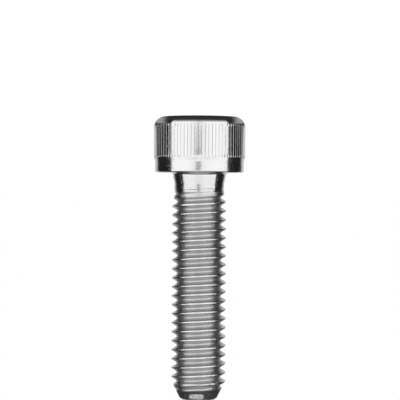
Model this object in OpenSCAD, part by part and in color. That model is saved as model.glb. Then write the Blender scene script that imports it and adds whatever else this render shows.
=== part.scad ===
// Hex socket cap screw, right-hand metric thread, standing on its head.
// The origin is the middle of the head's top face, and the shank points up along +Z.

/* [Head] */
// diameter over the knurl's ridges
head_d = 8.2; // [8.1:0.05:8.8]
// diameter of the smooth band below the knurl
band_d = 7.86; // [7.7:0.02:7.9]
// height of the head
head_h = 5; // [4.8:0.05:5.1]
// how far the rounded top edge reaches in from the knurl
round_in = 1.02; // [0.6:0.02:1.1]
// how far the rounded top edge reaches down the head
round_down = 0.94; // [0.6:0.02:1.1]
// small round at the head's lower edge
lower_round = 0.14; // [0.08:0.02:0.2]

/* [Knurl] */
// number of ridges round the head
ridges = 82; // [60:2:96]
// depth of the grooves between the ridges
knurl_depth = 0.1; // [0.06:0.01:0.14]
// width of a groove between the flat tops of two ridges
groove_w = 0.13; // [0.1:0.01:0.2]
// how far from the top face the ridges begin
knurl_from = 0.72; // [0.6:0.02:0.9]
// how far from the top face the ridges start to taper off
knurl_to = 3.54; // [3.2:0.02:3.8]
// height over which they taper into the band
knurl_taper = 0.28; // [0.14:0.02:0.4]

/* [Socket] */
// width across the hexagon's flats
socket_af = 4.02; // [3.9:0.01:4.1]
// depth of the hexagon
socket_depth = 2.6; // [2.5:0.05:2.8]
// diameter of the countersunk mouth
mouth_d = 5.22; // [5:0.02:5.4]
// diameter of the small flat at the bottom of the cone
floor_d = 1.32; // [0.8:0.04:2]

/* [Shank] */
// length from under the head to the point
length = 20.2; // [19.6:0.1:20.4]
// diameter of the plain neck under the head
neck_d = 4.46; // [4.4:0.02:4.6]
// radius of the fillet under the head
fillet_r = 0.72; // [0.4:0.02:0.8]
// distance from under the head to the end of the plain neck
neck_to = 1.4; // [1.2:0.05:1.9]
// diameter of the chamfered point
point_d = 3.2; // [2.8:0.05:3.4]

/* [Thread] */
// outside diameter
thread_d = 4.86; // [4.8:0.01:4.98]
// distance from one turn to the next
pitch = 0.8; // [0.8:0.8:0.8]
// depth from crest to root
thread_depth = 0.47; // [0.44:0.01:0.49]
// length over which the groove sinks in below the neck
root_run = 0.8; // [0.5:0.05:1.2]
// distance from the neck's end to where the crest starts to rise
crest_from = 0.7; // [0.4:0.05:0.9]
// length over which the crest rises to the outside diameter
crest_run = 1.1; // [0.8:0.05:1.6]

/* [Hidden] */
$fn = 64;

head_r = head_d / 2;
band_r = band_d / 2;
neck_r = neck_d / 2;
crest_r = thread_d / 2;
root_r = crest_r - thread_depth;
point_r = point_d / 2;
tip_z = head_h + length;
neck_end_z = head_h + neck_to;

round_steps = 6;
fillet_steps = 5;
overlap = 0.05;
// the grooves' flanks would meet this far outside the head
flanks_meet = knurl_depth * (PI * head_d / ridges / groove_w - 1);

// the chamfered point gains this much radius for each millimetre back from the end
point_slope = 0.5;
flank_slope = tan(30);
crest_w = pitch / 8;

// the thread's spiral begins this far inside the neck's wall and is cut off at the point
ridge_sink = 0.02;
turn_steps = 20;
spiral_from = neck_end_z - pitch;
spiral_steps = ceil((tip_z - spiral_from) / pitch + 1) * turn_steps;

// the countersink's cone runs on inside the hexagon
countersink_slope = tan(30);
countersink_h = mouth_d / 4;
cone_slope = tan(30);
// flat ledge between the hexagon's walls and the cone of its floor
floor_ledge = 0.12;
cone_r = socket_af / 2 - floor_ledge;
floor_depth = socket_depth + (cone_r - floor_d / 2) * cone_slope;

// half of the head's section with the neck, radius by height
function head_section() = concat(
    [[0, 0]],
    [for (i = [0:round_steps]) let (a = 90 * i / round_steps)
        [head_r - round_in + round_in * sin(a), round_down * (1 - cos(a))]],
    [[head_r, knurl_to], [band_r, knurl_to + knurl_taper]],
    [for (i = [0:3]) let (a = 30 * i)
        [band_r - lower_round * (1 - cos(a)), head_h - lower_round * (1 - sin(a))]],
    [for (i = [0:fillet_steps]) let (a = 90 * i / fillet_steps)
        [neck_r + fillet_r * (1 - sin(a)), head_h + fillet_r * (1 - cos(a))]],
    [[neck_r, neck_end_z], [root_r - overlap, neck_end_z + root_run], [0, neck_end_z + root_run]]
);

// radius of the crest at a height: level with the neck at first, and then it rises
function crest_at(z) =
    let (t = (z - neck_end_z - crest_from) / crest_run, start_r = neck_r - ridge_sink)
    start_r + (crest_r - start_r) * sin(90 * max(0, min(1, t)));
// half the width of the ridge at a depth below the full crest
function ridge_half(depth) = crest_w / 2 + depth * flank_slope;

// root, crest, crest and root of one turn, at one step along the spiral
function turn_points(i) =
    let (
        a = 360 * i / turn_steps,
        z = spiral_from + pitch * i / turn_steps,
        r = crest_at(z),
        root_half = ridge_half(thread_depth),
        crest_half = ridge_half(crest_r - r)
    )
    [for (c = [[root_r, -root_half], [r, -crest_half], [r, crest_half], [root_r, root_half]])
        [c[0] * cos(a), c[0] * sin(a), z + c[1]]];

// index of the point that follows point k of step i along the section
function next_point(i, k) = k < 3 ? 4 * i + k + 1 : 4 * (i + turn_steps);

module spiral() {
    n = spiral_steps;
    t = turn_steps;
    low = 4 * (n + 1);
    high = low + 1;
    low_rim = concat([for (i = [0:t]) 4 * i], [3, 2, 1, 0]);
    high_rim = concat([for (i = [n - t:n]) 4 * i + 3], [4 * n + 2, 4 * n + 1, 4 * n, 4 * (n - t) + 3]);
    polyhedron(
        points = concat(
            [for (i = [0:n]) each turn_points(i)],
            [[0, 0, spiral_from], [0, 0, spiral_from + pitch * n / t]]
        ),
        faces = concat(
            [for (i = [0:n - 1], k = [0:3]) if (k < 3 || i < n - t)
                let (a = 4 * i + k, b = a + 4, c = next_point(i + 1, k), d = next_point(i, k))
                each [[a, c, b], [a, d, c]]],
            [for (j = [0:len(low_rim) - 2]) [low, low_rim[j], low_rim[j + 1]]],
            [for (j = [0:len(high_rim) - 2]) [high, high_rim[j + 1], high_rim[j]]]
        )
    );
}

// the spiral cut to the chamfered point
module thread() {
    intersection() {
        spiral();
        rotate_extrude() polygon([
            [0, head_h + fillet_r], [crest_r + overlap, head_h + fillet_r],
            [crest_r + overlap, tip_z - (crest_r + overlap - point_r) / point_slope],
            [point_r, tip_z], [0, tip_z]
        ]);
    }
}

module knurl_grooves() {
    outer_r = head_r + flanks_meet;
    translate([0, 0, knurl_from])
    difference() {
        cylinder(h = knurl_to + knurl_taper + overlap - knurl_from, r = outer_r + overlap);
        translate([0, 0, -overlap])
        linear_extrude(height = head_h)
        polygon([for (i = [0:2 * ridges - 1])
            let (a = 180 / ridges * i, r = i % 2 == 0 ? head_r - knurl_depth : outer_r)
            r * [cos(a), sin(a)]]);
    }
}

module socket() {
    translate([0, 0, -overlap])
    cylinder(h = socket_depth + overlap, r = socket_af / 2 / cos(30), $fn = 6);
    translate([0, 0, -overlap])
    cylinder(h = countersink_h + overlap, r1 = mouth_d / 2 + overlap / countersink_slope,
        r2 = mouth_d / 2 - countersink_h / countersink_slope);
    translate([0, 0, socket_depth - overlap])
    cylinder(h = floor_depth - socket_depth + overlap,
        r1 = cone_r + overlap / cone_slope, r2 = floor_d / 2);
}

module cap_screw() {
    color("silver")
    union() {
        difference() {
            rotate_extrude() polygon(head_section());
            knurl_grooves();
            socket();
        }
        thread();
    }
}

cap_screw();
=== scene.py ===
import math

import bmesh
import bpy
import numpy as np
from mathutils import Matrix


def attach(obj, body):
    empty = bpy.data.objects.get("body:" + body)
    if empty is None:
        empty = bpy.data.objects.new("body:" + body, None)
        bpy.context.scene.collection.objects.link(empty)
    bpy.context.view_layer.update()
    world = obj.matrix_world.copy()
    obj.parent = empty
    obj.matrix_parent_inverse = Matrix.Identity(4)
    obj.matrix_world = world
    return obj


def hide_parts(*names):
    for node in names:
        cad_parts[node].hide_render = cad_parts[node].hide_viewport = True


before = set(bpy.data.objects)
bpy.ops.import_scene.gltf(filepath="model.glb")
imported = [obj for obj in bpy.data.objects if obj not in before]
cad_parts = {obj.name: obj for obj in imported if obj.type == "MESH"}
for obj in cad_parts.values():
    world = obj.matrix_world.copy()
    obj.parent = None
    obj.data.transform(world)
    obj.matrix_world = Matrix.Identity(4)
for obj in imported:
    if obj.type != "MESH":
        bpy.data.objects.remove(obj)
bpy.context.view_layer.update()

# The head. A slug of steel wire is struck to a round head with a curved top edge, the hexagon is
# punched into it with a drilled cone at its floor, and straight grooves are rolled round the head.
# The grooves run out in the top's curve and in a short taper, and the band below them stays smooth.
MM = 0.001
HEAD_R, HEAD_H = 4.10, 5.00
ROUND_IN, ROUND_DOWN, ROUND_STEPS = 1.02, 0.94, 18
BAND_R, LOWER_ROUND, LOWER_STEPS = 3.98, 0.14, 4
KNURL_FROM, KNURL_TO, KNURL_STEPS = 0.72, 3.54, 4
TAPER, TAPER_LAP, TAPER_STEPS = 0.46, 0.04, 9
RIDGES, GROOVE_DEPTH, GROOVE_W = 82, 0.045, 0.045
RIDGE_STEP, RIDGE_TURN = math.tau / RIDGES, math.radians(1.72)
LAND_HALF = 0.5 - GROOVE_W / (2 * RIDGE_STEP * HEAD_R)
GROOVE_FLOOR, UNEVENNESS = 0.9, 0.15
# columns of points across one ridge, from the middle of its land over the groove to the next
COLUMNS = (0.0, LAND_HALF, 0.45, 0.5, 0.55, 1.0 - LAND_HALF)
HEX_HALF, HEX_CORNER = 2.01, 0.06
HEX_DEPTH, HEX_EDGE = 2.60, 0.03
MOUTH_R, MOUTH_EDGE = 2.61, 0.05
COUNTERSINK = math.tan(math.radians(30))
CONE_R, CONE_FLAT_R, CONE_DEPTH = 1.89, 0.66, 3.31
FILLET_R, FILLET_STEPS = 0.27, 8
# a slight cone joins the fillet to the neck, which is straight from the first of these heights on
NECK_TOP_R, NECK_R = 2.38, 2.23
NECK_FROM, NECK_RING, NECK_END = 6.00, 6.10, 6.40


def only(obj):
    bpy.ops.object.select_all(action="DESELECT")
    obj.select_set(True)
    bpy.context.view_layer.objects.active = obj


def at(angle, size):
    """A size in mm that is either a number or a function of the angle."""
    return size(angle) if callable(size) else size


def place_ring(obj, radius, height):
    """Set the radius and the height of the selected ring."""
    mesh = bmesh.from_edit_mesh(obj.data)
    for v in mesh.verts:
        if v.select:
            angle = math.atan2(v.co.y, v.co.x)
            r = at(angle, radius)
            v.co = (r * math.cos(angle) * MM, r * math.sin(angle) * MM, at(angle, height) * MM)
    bmesh.update_edit_mesh(obj.data)


def between(start, end, steps):
    """Even steps from the start, left out, to the end."""
    return [start + (end - start) * i / steps for i in range(1, steps + 1)]


def quarter(steps):
    """Angles of a quarter turn, from nothing to a right angle."""
    return [math.radians(90 * i / steps) for i in range(steps + 1)]


def hexagon(angle):
    """Radius of the hexagon, its corners a little rounded."""
    sixth = math.radians(60)
    flat = HEX_HALF / math.cos(angle % sixth - sixth / 2)
    return min(flat, HEX_HALF / math.cos(sixth / 2) - HEX_CORNER)


def mouth(angle):
    """Height at which the countersink meets the hexagon."""
    return (MOUTH_R - hexagon(angle)) * COUNTERSINK


def cone_ring(share):
    """Ring of the floor's cone, at this share of the way from its middle to the hexagon."""
    return CONE_FLAT_R + (CONE_R - CONE_FLAT_R) * share, CONE_DEPTH + (HEX_DEPTH - CONE_DEPTH) * share


def wall_ring(share):
    """Ring of the hexagon's wall, at this share of the way from its foot to its mouth."""
    foot = HEX_DEPTH - HEX_EDGE
    return hexagon, lambda angle: foot + (mouth(angle) + MOUTH_EDGE - foot) * share


def mouth_ring(share):
    """Ring of the broken edge where the hexagon's wall turns into the countersink."""
    rise = MOUTH_EDGE * ((1 - share) ** 2 - COUNTERSINK * share)
    return (lambda angle: hexagon(angle) + MOUTH_EDGE * share), (lambda angle: mouth(angle) + rise)


def outline(z):
    """Radius of the head before its grooves are rolled."""
    if z < ROUND_DOWN:
        c = 1 - z / ROUND_DOWN
        return HEAD_R - ROUND_IN * (1 - math.sqrt(1 - c * c))
    return HEAD_R + (BAND_R - HEAD_R) * min(1.0, max(0.0, (z - KNURL_TO) / TAPER))


def groove(angle):
    """Depth of the groove at this angle, no two grooves quite alike."""
    turn = (angle - RIDGE_TURN) / RIDGE_STEP
    number = math.floor(turn) % RIDGES
    into = (abs(turn - round(turn)) - LAND_HALF) / (0.5 - LAND_HALF)
    uneven = 1 + UNEVENNESS * math.sin(2.4 * number) * math.sin(0.73 * number + 1)
    return GROOVE_DEPTH * min(GROOVE_FLOOR, max(0.0, into)) * uneven


def head_ring(z):
    """Ring of the grooved head at this height."""
    return (lambda angle: min(outline(z), HEAD_R - groove(angle))), z


bpy.ops.object.select_all(action="DESELECT")
POINTS = RIDGES * len(COLUMNS)
bpy.ops.mesh.primitive_circle_add(vertices=POINTS, radius=MM, fill_type="NOTHING")
screw = bpy.context.object
screw.name = "screw"
for v in screw.data.vertices:
    number, column = divmod(round(math.atan2(v.co.y, v.co.x) / math.tau * POINTS), len(COLUMNS))
    angle = RIDGE_TURN + (number + COLUMNS[column]) * RIDGE_STEP
    v.co = (math.cos(angle) * MM, math.sin(angle) * MM, 0)

# from the cone at the socket's floor out over the top face, and down the head to the neck
rings = [(CONE_FLAT_R, CONE_DEPTH)]
rings += [cone_ring(share) for share in (0.03, 0.5, 0.97, 1.0)]
rings += [(lambda angle: hexagon(angle) - HEX_EDGE, HEX_DEPTH)]
rings += [wall_ring(share) for share in (0.0, 0.5, 1.0)]
rings += [mouth_ring(share) for share in (0.5, 1.0)]
rings += [(MOUTH_R - MOUTH_EDGE, MOUTH_EDGE * COUNTERSINK), (MOUTH_R, MOUTH_EDGE * 0.15)]
rings += [(MOUTH_R + MOUTH_EDGE, 0.0), (HEAD_R - ROUND_IN, 0.0)]
rings += [head_ring(ROUND_DOWN * (1 - math.cos(turn))) for turn in quarter(ROUND_STEPS)[1:]]
rings += [head_ring(z) for z in between(ROUND_DOWN, KNURL_TO - TAPER_LAP, KNURL_STEPS)]
rings += [head_ring(z) for z in between(KNURL_TO - TAPER_LAP, KNURL_TO + TAPER + TAPER_LAP, TAPER_STEPS)]
rings += [head_ring(HEAD_H - LOWER_ROUND - 0.02)]
rings += [(BAND_R - LOWER_ROUND * (1 - math.cos(turn)), HEAD_H - LOWER_ROUND * (1 - math.sin(turn)))
          for turn in quarter(LOWER_STEPS)]
rings += [(NECK_TOP_R + FILLET_R * (1 - math.sin(turn)), HEAD_H + FILLET_R * (1 - math.cos(turn)))
          for turn in quarter(FILLET_STEPS)]
rings += [(NECK_R, NECK_FROM), (NECK_R, NECK_RING)]

only(screw)
bpy.ops.object.mode_set(mode="EDIT")
bpy.ops.mesh.select_all(action="SELECT")
place_ring(screw, *rings[0])
for radius, height in rings[1:]:
    bpy.ops.mesh.extrude_region_move()
    place_ring(screw, radius, height)
bpy.ops.object.mode_set(mode="OBJECT")

# The thread, rolled on the same wire between flat dies. The groove is pressed in to its full depth
# within one turn, its root is round, and the crests rise out of the neck over the next turn. The
# end is a blunt cone, so the last crest comes out low and half flat.
CREST_R, PITCH, THREAD_DEPTH = 2.43, 0.80, 0.47
ROOT_R = CREST_R - THREAD_DEPTH
CREST_HALF, CREST_EDGE = 0.05, 0.025
FLANK = math.tan(math.radians(30))
FLANK_DEPTHS = (0.09, 0.16, 0.22, 0.28, 0.34)
ROOT_ARC = (PITCH / 2 - CREST_HALF) / FLANK - THREAD_DEPTH
ROOT_TURNS = (60, 45, 30, 15, 0)
FIRST_TURN, TURNS, TURN_STEPS = NECK_END - PITCH, 26, 100
# the groove starts before the neck's end, and is shallow and flat at first
ROOT_LEAD, ROOT_RUN = 0.10, 0.70
FLAT_DEPTH, FLAT_RUN, FLAT_FADE = 0.03, 0.35, 0.60
CREST_FROM, CREST_RUN = 0.70, 1.10
LIP_HEIGHT, LIP_OUT, LIP_HALF, LIP_RUN = 0.05, 0.09, 0.035, 0.09
TIP_Z, POINT_R, POINT_SLOPE = 25.2, 1.60, 0.5
BROKEN, BROKEN_SLOPE = 0.1, 1.2
LAST_CREST, LAST_FLAT = 1.1, 0.02
THREAD_CUT, MERGE = 0.15, 0.002

# half of one turn's section, height from the crest's middle by depth below the crest
half = [(CREST_HALF - CREST_EDGE, 0.0), (CREST_HALF - CREST_EDGE / 4, CREST_EDGE / 4)]
half += [(CREST_HALF + depth * FLANK, depth) for depth in (CREST_EDGE, *FLANK_DEPTHS)]
half += [(PITCH / 2 - ROOT_ARC * math.sin(math.radians(turn)),
          THREAD_DEPTH - ROOT_ARC * (1 - math.cos(math.radians(turn)))) for turn in ROOT_TURNS]
section = [(-up, depth) for up, depth in reversed(half)] + half

thread_mesh = bpy.data.meshes.new("thread")
thread_mesh.from_pydata([((CREST_R - depth) * MM, 0, (FIRST_TURN + up) * MM) for up, depth in section],
                        [(i, i + 1) for i in range(len(section) - 1)], [])
thread = bpy.data.objects.new("thread", thread_mesh)
bpy.context.collection.objects.link(thread)
only(thread)
winding = thread.modifiers.new("winding", "SCREW")
winding.axis = "Z"
winding.angle = math.tau
winding.screw_offset = PITCH * MM
winding.steps = winding.render_steps = TURN_STEPS
winding.iterations = TURNS
bpy.ops.object.modifier_apply(modifier=winding.name)
bpy.ops.object.mode_set(mode="EDIT")
bpy.ops.mesh.select_all(action="SELECT")
bpy.ops.mesh.remove_doubles(threshold=MERGE * MM)
bpy.ops.object.mode_set(mode="OBJECT")

points = np.empty(len(thread.data.vertices) * 3)
thread.data.vertices.foreach_get("co", points)
x, y, z = points.reshape(-1, 3).T / MM
radius = np.hypot(x, y)
below = z - NECK_END
across = (z - PITCH * np.arctan2(y, x) / math.tau + PITCH / 2) % PITCH - PITCH / 2
crest_z = z - across
lift = (NECK_R - ROOT_R) * (1 - np.clip((below + ROOT_LEAD) / ROOT_RUN, 0, 1))
risen = np.sin(math.pi / 2 * np.clip((below - CREST_FROM) / CREST_RUN, 0, 1))
lip = LIP_HEIGHT * np.exp(-((np.abs(across) - LIP_OUT) / LIP_HALF) ** 2)
lip = lip * np.exp(-(below / LIP_RUN) ** 2) * np.clip(x / radius, 0, 1) ** 2
shaped = np.minimum(radius + lift, NECK_R + (CREST_R - NECK_R) * risen + lip)
flat_r = NECK_R - FLAT_DEPTH - THREAD_DEPTH * np.clip((below - FLAT_RUN) / FLAT_FADE, 0, 1)
shaped = np.maximum(shaped, flat_r)
held = crest_z + np.maximum(across - LAST_FLAT, 0) - LAST_FLAT
held = np.where(crest_z < TIP_Z - LAST_CREST, held, z)
for end_r, slope in ((POINT_R, POINT_SLOPE), (POINT_R - BROKEN, BROKEN_SLOPE)):
    cone_r = end_r + (TIP_Z - held) * slope
    shaped = np.minimum(shaped, np.maximum(cone_r, POINT_R / 4))
points = np.stack([x * shaped / radius, y * shaped / radius, z], axis=1) * MM
thread.data.vertices.foreach_set("co", points.ravel())
thread.data.update()

bpy.ops.object.mode_set(mode="EDIT")
for cut_z, side in ((NECK_END - THREAD_CUT, {"clear_inner": True}), (TIP_Z, {"clear_outer": True})):
    bpy.ops.mesh.select_all(action="SELECT")
    bpy.ops.mesh.bisect(plane_co=(0, 0, cut_z * MM), plane_no=(0, 0, 1), threshold=1e-7, **side)
bpy.ops.object.mode_set(mode="OBJECT")


def select_open_edges(obj, low, high):
    """Select the open edges that begin between two heights."""
    mesh = bmesh.from_edit_mesh(obj.data)
    for e in mesh.edges:
        e.select = e.is_boundary and low * MM < e.verts[0].co.z < high * MM
    mesh.select_flush(True)
    bmesh.update_edit_mesh(obj.data)


# Head and thread are one piece of wire: the neck joins them, and the socket's floor and the
# sheared end close the skin.
only(screw)
thread.select_set(True)
bpy.ops.object.join()
bpy.ops.object.mode_set(mode="EDIT")
bpy.ops.mesh.select_mode(type="EDGE")
bridge, fill = bpy.ops.mesh.bridge_edge_loops, bpy.ops.mesh.edge_face_add
for low, high, close in ((HEAD_H, NECK_END, bridge), (0, HEAD_H, fill), (NECK_END, TIP_Z + 1, fill)):
    bpy.ops.mesh.select_all(action="DESELECT")
    select_open_edges(screw, low, high)
    close()
bpy.ops.mesh.select_all(action="SELECT")
bpy.ops.mesh.normals_make_consistent(inside=False)
bpy.ops.object.mode_set(mode="OBJECT")
bpy.ops.object.shade_smooth_by_angle(angle=math.radians(38))


# The finish. Bright zinc over the steel: the head and neck shine, the rolled thread is a little
# duller with its crests rubbed bright, and the sheared wire end is coarse and darkened with painted
# shade, with a scuffed pale patch on one side.
class Value:
    """A shader socket that takes part in Python sums."""

    def __init__(self, tree, socket):
        self.tree, self.socket = tree, socket

    def node(self, kind, settings=None, out=0, **inputs):
        """Add a node: its settings first, then its sockets' values or links by name or number."""
        made = self.tree.nodes.new(kind)
        for name, setting in (settings or {}).items():
            setattr(made, name, setting)
        for name, value in inputs.items():
            key = int(name[1:]) if name[1:].isdigit() else name
            if isinstance(value, Value):
                self.tree.links.new(value.socket, made.inputs[key])
            else:
                made.inputs[key].default_value = value
        return Value(self.tree, made.outputs[out])

    def maths(self, operation, other=0.0):
        return self.node("ShaderNodeMath", {"operation": operation}, i0=self, i1=other)

    def vector(self, operation, other=(0, 0, 0), out=0):
        return self.node("ShaderNodeVectorMath", {"operation": operation}, out, i0=self, i1=other)

    def step(self, low, high):
        """Rise smoothly from 0 at the low value to 1 at the high one."""
        return self.node("ShaderNodeMapRange", {"interpolation_type": "SMOOTHSTEP"},
                         i0=self, i1=low, i2=high, i3=0.0, i4=1.0)

    def xyz(self):
        split = self.tree.nodes.new("ShaderNodeSeparateXYZ")
        self.tree.links.new(self.socket, split.inputs[0])
        return [Value(self.tree, split.outputs[axis]) for axis in "XYZ"]

    def __add__(self, other):
        return self.maths("ADD", other)

    def __sub__(self, other):
        return self.maths("SUBTRACT", other)

    def __mul__(self, other):
        return self.maths("MULTIPLY", other)

    def __rsub__(self, other):
        return self.node("ShaderNodeMath", {"operation": "SUBTRACT"}, i0=other, i1=self)

    def __neg__(self):
        return 0.0 - self

    __radd__ = __add__
    __rmul__ = __mul__


def source(tree, kind, output):
    """One output of a new node that has no input."""
    return Value(tree, tree.nodes.new(kind).outputs[output])


def noise(place, size, detail=3.0):
    """Noise whose blotches are about this many millimetres across."""
    return place.node("ShaderNodeTexNoise", Vector=place, Scale=1 / (size * MM), Detail=detail,
                      Roughness=0.55)


# heights where the sheared cone begins: coarse, and darkened with painted shade
COARSE_DARK_END_FROM, COARSE_DARK_END_TO = 24.2, 24.3
SCUFF_X, SCUFF_Z, SCUFF_HALF_W, SCUFF_HALF_H = 0.14, 24.84, 0.66, 0.24
TONE, ROUGHNESS, RELIEF = 0.59, 0.10, 0.004

zinc = bpy.data.materials.new("bright_zinc")
zinc.use_nodes = True
tree = zinc.node_tree
shader = tree.nodes["Principled BSDF"]
place = source(tree, "ShaderNodeTexCoord", "Object")
side, back, height = place.xyz()
radius = (side * side + back * back).maths("SQRT")
grit, fine, speck = noise(place, 0.06), noise(place, 0.10), noise(place, 0.28)
cloud = noise(place, 1.4, 4.0)
pits = noise(place, 0.17).step(0.58, 0.68)

# where each kind of surface lies: the grooves' floors, rougher and a little darkened with painted
# shade, the neck and shank, the thread with its rubbed crests and its roots, and the sheared cone
# the grooves' floors: rougher, and darkened a little with painted shade
groove_floor_and_shade = (1 - radius.step((HEAD_R - 0.035) * MM, (HEAD_R - 0.015) * MM)) * radius.step(3.5 * MM, 3.6 * MM)
groove_floor_and_shade = groove_floor_and_shade * height.step(KNURL_FROM * MM, (KNURL_FROM + 0.08) * MM)
groove_floor_and_shade = groove_floor_and_shade * (1 - height.step((KNURL_TO - 0.09) * MM, (KNURL_TO - 0.04) * MM))
drawn = height.step((HEAD_H + 0.1) * MM, (HEAD_H + 0.4) * MM)
rolled = height.step((NECK_END + 0.1) * MM, (NECK_END + 0.6) * MM)
worn = rolled * radius.step((CREST_R - 0.05) * MM, (CREST_R - 0.02) * MM)
root = 1 - radius.step((ROOT_R + 0.10) * MM, (CREST_R - 0.05) * MM)
inside = (POINT_R + TIP_Z * POINT_SLOPE) * MM - height * POINT_SLOPE - radius
# the sheared cone: rough and coarse, and darkened with painted shade
coarse_end_painted_dark = (1 - inside.step(0.01 * MM, 0.03 * MM)) * height.step(COARSE_DARK_END_FROM * MM, COARSE_DARK_END_TO * MM)

across = (side - SCUFF_X * MM) * (1 / SCUFF_HALF_W / MM)
along = (height - SCUFF_Z * MM) * (1 / SCUFF_HALF_H / MM)
across, along = across * across, along * along
ragged = (grit - 0.5) * 2.4 + (speck - 0.5) * 1.2
scuff = 1 - (across * across + along * along + ragged).step(0.7, 1.1)
scuff = scuff * (-back).step(0.5 * MM, 0.6 * MM)

tone = TONE + cloud * 0.05 + fine * 0.12 - drawn * 0.065 - rolled * 0.03 + worn * 0.17
# painted shade: the sheared cone is darkened to near black apart from its scuffed patch, and the grooves'
# floors a little
tone = tone * (1 - coarse_end_painted_dark * (0.9 - speck * 0.3)) * (1 - groove_floor_and_shade * 0.05)
tone = tone * (1 - scuff) + scuff * (0.5 + grit.step(0.35, 0.6) * 0.48)
tree.links.new(tone.socket, shader.inputs["Base Color"])
rough = ROUGHNESS + cloud * 0.06 + fine * 0.05 + rolled * (0.11 + root * 0.10)
rough = rough + groove_floor_and_shade * 0.18 + coarse_end_painted_dark * 0.2 + scuff * 0.4
tree.links.new(rough.socket, shader.inputs["Roughness"])
relief = fine * 0.3 + grit * scuff * 4.0 + speck * (1.0 + (rolled - worn) * 10.0 + coarse_end_painted_dark * 3.0)
relief = relief + pits * (2.0 + rolled * 5.0)
bump = place.node("ShaderNodeBump", Strength=0.5, Distance=RELIEF * MM, Height=relief)
tree.links.new(bump.socket, shader.inputs["Normal"])
shader.inputs["Metallic"].default_value = 1.0
screw.data.materials.clear()
screw.data.materials.append(zinc)
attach(screw, "root")
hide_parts("cap_screw")

# The floor is white card. The camera sees it near white with the screw's shadow. The metal sees a painted
# reflection of the tent on it, bright in front and dark at both sides, with a painted contact shadow where
# the head closes on it.
FLOOR_SIZE = 4.0
LIT, PALE, OVERHEAD, DARK = 1.36, 0.75, 0.5, 0.02
GAP, GAP_SOFT = math.tan(math.radians(38.3)), 0.025
LENS_TURN, LENS_RIM, LENS_DISC, LENS_GLOOM = (math.radians(a) for a in (3, 9, 5, 30))
CARD, CARD_GLOW, PAINTED_SHADOW_GLOW = 0.8, 0.88, 0.04


def tent(ahead, aside, up, share):
    """Light from a direction: its parts towards the camera, to the side and up along the screw."""
    turned = aside.maths("ABSOLUTE").maths("DIVIDE", ahead + 1.001)
    front = (1 - turned.step(GAP - GAP_SOFT, GAP + GAP_SOFT)) * ahead.step(-0.6, -0.3)
    toward = ahead * math.cos(LENS_TURN) + aside * math.sin(LENS_TURN)
    lens = toward.step(math.cos(LENS_RIM), math.cos(LENS_DISC)) * share * 0.65
    lens = lens + toward.step(math.cos(LENS_GLOOM), 1.0) * 0.1
    front = front * (1 - up.step(0.42, 0.68) * 0.93) * (1 - lens)
    behind = (-ahead).step(0.65, 0.86) * (1 - up.maths("ABSOLUTE").step(0.45, 0.65))
    return front * LIT + behind * PALE + up.step(0.88, 0.97) * OVERHEAD + DARK


bpy.ops.object.select_all(action="DESELECT")
bpy.ops.mesh.primitive_plane_add(size=FLOOR_SIZE, location=(0, 0, 0))
floor = bpy.context.object
floor.name = "floor"
card = bpy.data.materials.new("white_card")
card.use_nodes = True
tree = card.node_tree
tree.nodes.clear()
place = source(tree, "ShaderNodeTexCoord", "Object")
seen = source(tree, "ShaderNodeLightPath", "Is Camera Ray")
glossy = source(tree, "ShaderNodeLightPath", "Is Glossy Ray")
away = place.vector("LENGTH", out=1)
# a painted contact shadow on the floor, dark where the head closes on it, for the metal to show
clear = away.step(3.9 * MM, 4.8 * MM)
aside, back, up = place.vector("ADD", (0, 2.5 * MM, 0)).vector("NORMALIZE").xyz()
share = 0.25 + away.step(0.05, 0.25) * 1.05 - away.step(0.35, 0.6) * 0.5
# what the metal sees on the floor: the tent's light painted on it as a reflection, and the painted contact
# shadow
shine = clear * tent(-back, aside, up, share) + (1 - clear) * PAINTED_SHADOW_GLOW
# a painted patch of light on the floor close round the head, except towards the camera, for the head's
# shoulder to reflect
painted_light_beside = place.vector("NORMALIZE").xyz()[1].step(-0.65, -0.3)
painted_light_beside = painted_light_beside * away.step(3.3 * MM, 3.7 * MM) * (1 - away.step(4.6 * MM, 6.0 * MM)) * 0.4
matt = place.node("ShaderNodeBsdfDiffuse", Color=CARD - seen * 0.3 - glossy * CARD)
glow = place.node("ShaderNodeEmission", Strength=seen * CARD_GLOW + glossy * (shine + painted_light_beside))
both = place.node("ShaderNodeAddShader", i0=matt, i1=glow)
surface = tree.nodes.new("ShaderNodeOutputMaterial")
tree.links.new(both.socket, surface.inputs["Surface"])
floor.data.materials.append(card)

# The light is a white tent: bright in front and over the point, paler behind, with the dark gaps
# at the two sides and the camera's small opening in its middle that the metal shows.
world = bpy.data.worlds.new("tent")
bpy.context.scene.world = world
world.use_nodes = True
tree = world.node_tree
tree.nodes.clear()
aside, back, up = source(tree, "ShaderNodeTexCoord", "Generated").xyz()
seen = source(tree, "ShaderNodeLightPath", "Is Camera Ray")
strength = seen + (1 - seen) * tent(-back, aside, up, 0.8)
light = strength.node("ShaderNodeBackground", Color=(1, 1, 1, 1), Strength=strength)
surface = tree.nodes.new("ShaderNodeOutputWorld")
tree.links.new(light.socket, surface.inputs["Surface"])

# The camera stands level with the thread's start, turned so that the head is at the picture's top,
# and leans a little as the picture does.
PICTURE, SENSOR = 400, 36.0
PIXELS_PER_MM, HEAD_TOP_ROW = 11.1925, 116.8
DISTANCE, ASIDE, LEAN = 175.2, -0.067, 0.34
camera_data = bpy.data.cameras.new("camera")
camera_data.sensor_width = SENSOR
camera_data.lens = SENSOR * PIXELS_PER_MM * DISTANCE / PICTURE
camera_data.clip_start, camera_data.clip_end = 0.01, 20
camera = bpy.data.objects.new("camera", camera_data)
bpy.context.collection.objects.link(camera)
camera.location = (ASIDE * MM, -DISTANCE * MM, (PICTURE / 2 - HEAD_TOP_ROW) / PIXELS_PER_MM * MM)
camera.rotation_euler = (math.radians(90), math.radians(180 - LEAN), 0)
bpy.context.scene.camera = camera
bpy.context.scene.view_settings.view_transform = "Standard"
